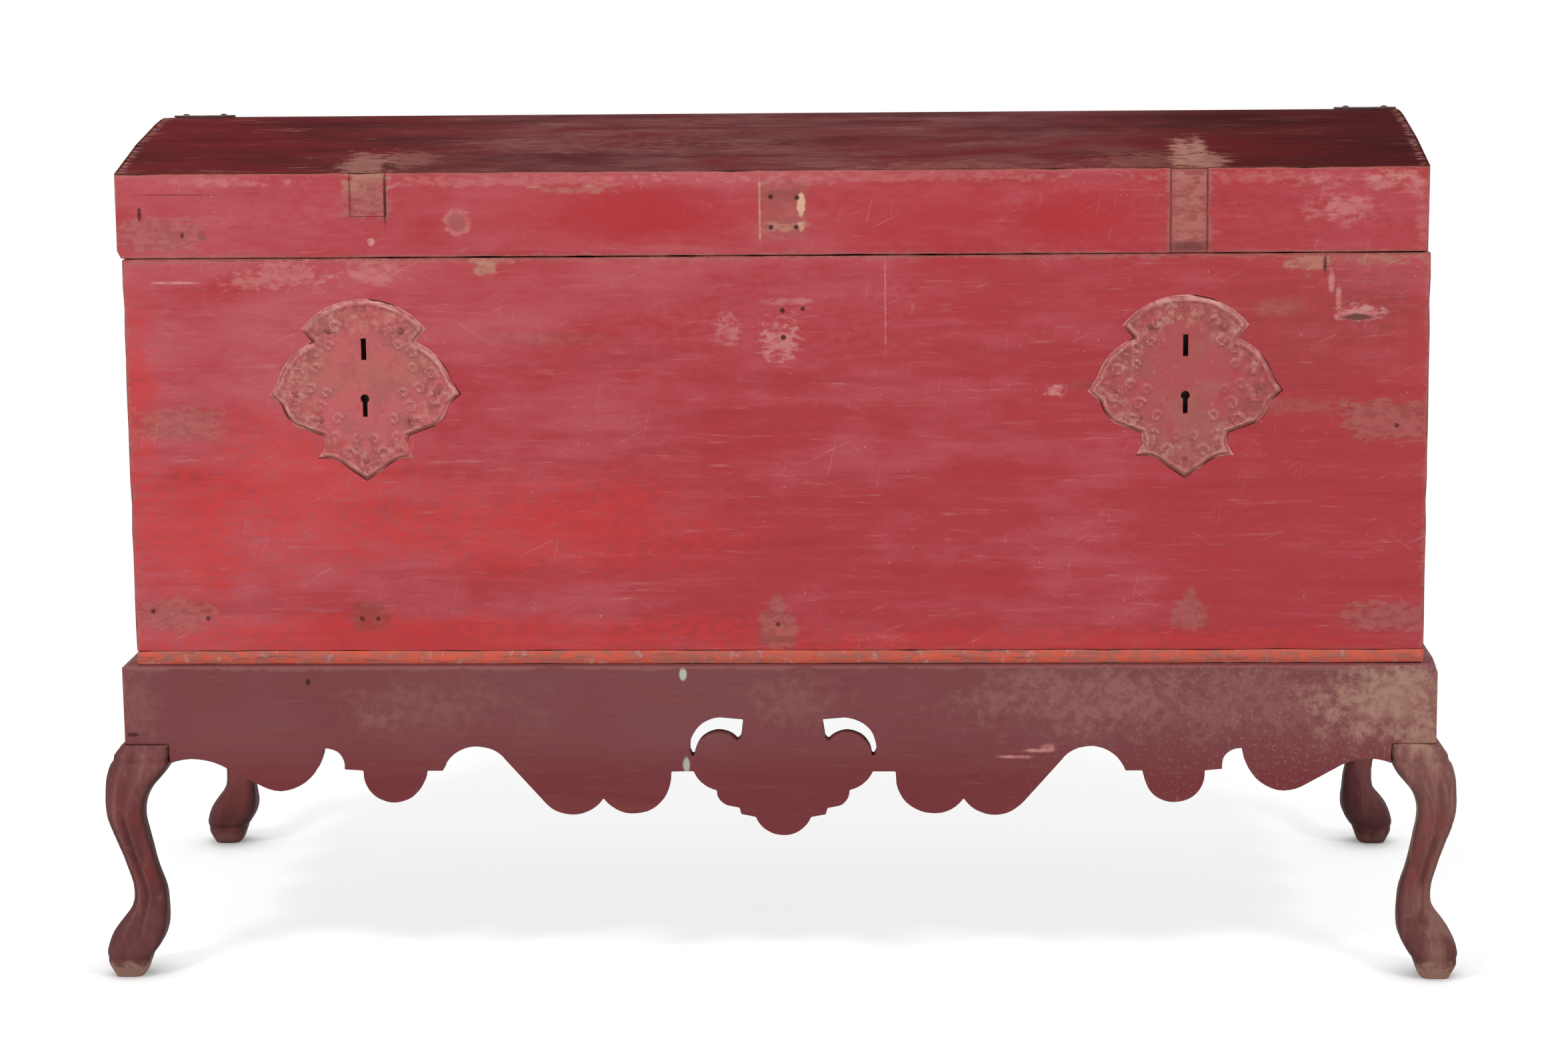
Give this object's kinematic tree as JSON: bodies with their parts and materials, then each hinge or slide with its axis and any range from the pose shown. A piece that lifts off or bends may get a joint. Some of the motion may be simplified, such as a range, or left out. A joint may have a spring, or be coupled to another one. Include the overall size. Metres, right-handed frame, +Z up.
{
  "type": "dome top chest",
  "caption": "Long painted wooden chest with a low domed lid of staves on two strap hinges and two iron locks behind ornate plates, on a scalloped stand with curved legs",
  "frame": {"origin": "on the floor, under the middle of the stand", "axes": "+X along the length to the right as seen from the front, +Y to the back, +Z up; the front with its locks faces -Y"},
  "size_m": [1.69, 0.73, 1.0608],
  "materials": {
    "red_paint": "worn matt red paint over boards",
    "dome_paint": "dark maroon paint, darkened and worn",
    "stand_paint": "maroon paint, rubbed to brown wood at edges",
    "raw_wood": "bare aged softwood",
    "painted_iron": "wrought sheet iron under the case's red paint",
    "dome_iron": "wrought iron under maroon paint",
    "bare_iron": "bare dark wrought iron"
  },
  "bodies": {
    "chest": {"front_board": "red_paint", "back_board": "red_paint", "end_board_left": "red_paint", "end_board_right": "red_paint", "bottom_board": "red_paint", "apron_front": "stand_paint", "apron_back": "stand_paint", "apron_left": "stand_paint", "apron_right": "stand_paint", "leg_front_left": "stand_paint", "leg_front_right": "stand_paint", "leg_back_left": "stand_paint", "leg_back_right": "stand_paint", "cross_bearer_left": "raw_wood", "cross_bearer_right": "raw_wood", "lock_plate_left": "painted_iron", "lock_plate_right": "painted_iron", "lock_plate_nails": "painted_iron", "hinge_leaf_left": "dome_iron", "hinge_leaf_right": "dome_iron", "hinge_leaf_nails": "dome_iron", "hinge_pin_left": "dome_iron", "hinge_pin_right": "dome_iron", "bottom_nails": "bare_iron", "lock_case_nails": "bare_iron", "lock_case_left": "bare_iron", "key_pin_left": "bare_iron", "bolt_spring_left": "bare_iron", "lock_case_right": "bare_iron", "key_pin_right": "bare_iron", "bolt_spring_right": "bare_iron"},
    "lid": {"lid_front_rail": "red_paint", "lid_back_rail": "red_paint", "lid_end_left": "red_paint", "lid_end_right": "red_paint", "dome_stave_front": "dome_paint", "dome_stave_upper_front": "dome_paint", "dome_stave_top": "dome_paint", "dome_stave_upper_back": "dome_paint", "dome_stave_back": "dome_paint", "lid_rib_left": "raw_wood", "lid_rib_right": "raw_wood", "dome_nails": "dome_iron", "hinge_strap_left": "dome_iron", "hinge_strap_right": "dome_iron", "hinge_strap_nails": "dome_iron"},
    "lock_bolt_left": {"lock_bolt_left": "bare_iron"},
    "lock_bolt_right": {"lock_bolt_right": "bare_iron"}
  },
  "joints": [
    {"name": "lid_hinge", "type": "hinge", "parent": "chest", "child": "lid", "pos_m": [0, 0.3265, 0.9024], "axis": [-1, 0, 0], "range_deg": [0, 105]},
    {"name": "left_bolt_slide", "type": "slide", "parent": "chest", "child": "lock_bolt_left", "axis": [1, 0, 0], "range_m": [0, 0.022]},
    {"name": "right_bolt_slide", "type": "slide", "parent": "chest", "child": "lock_bolt_right", "axis": [1, 0, 0], "range_m": [0, 0.022]}
  ]
}
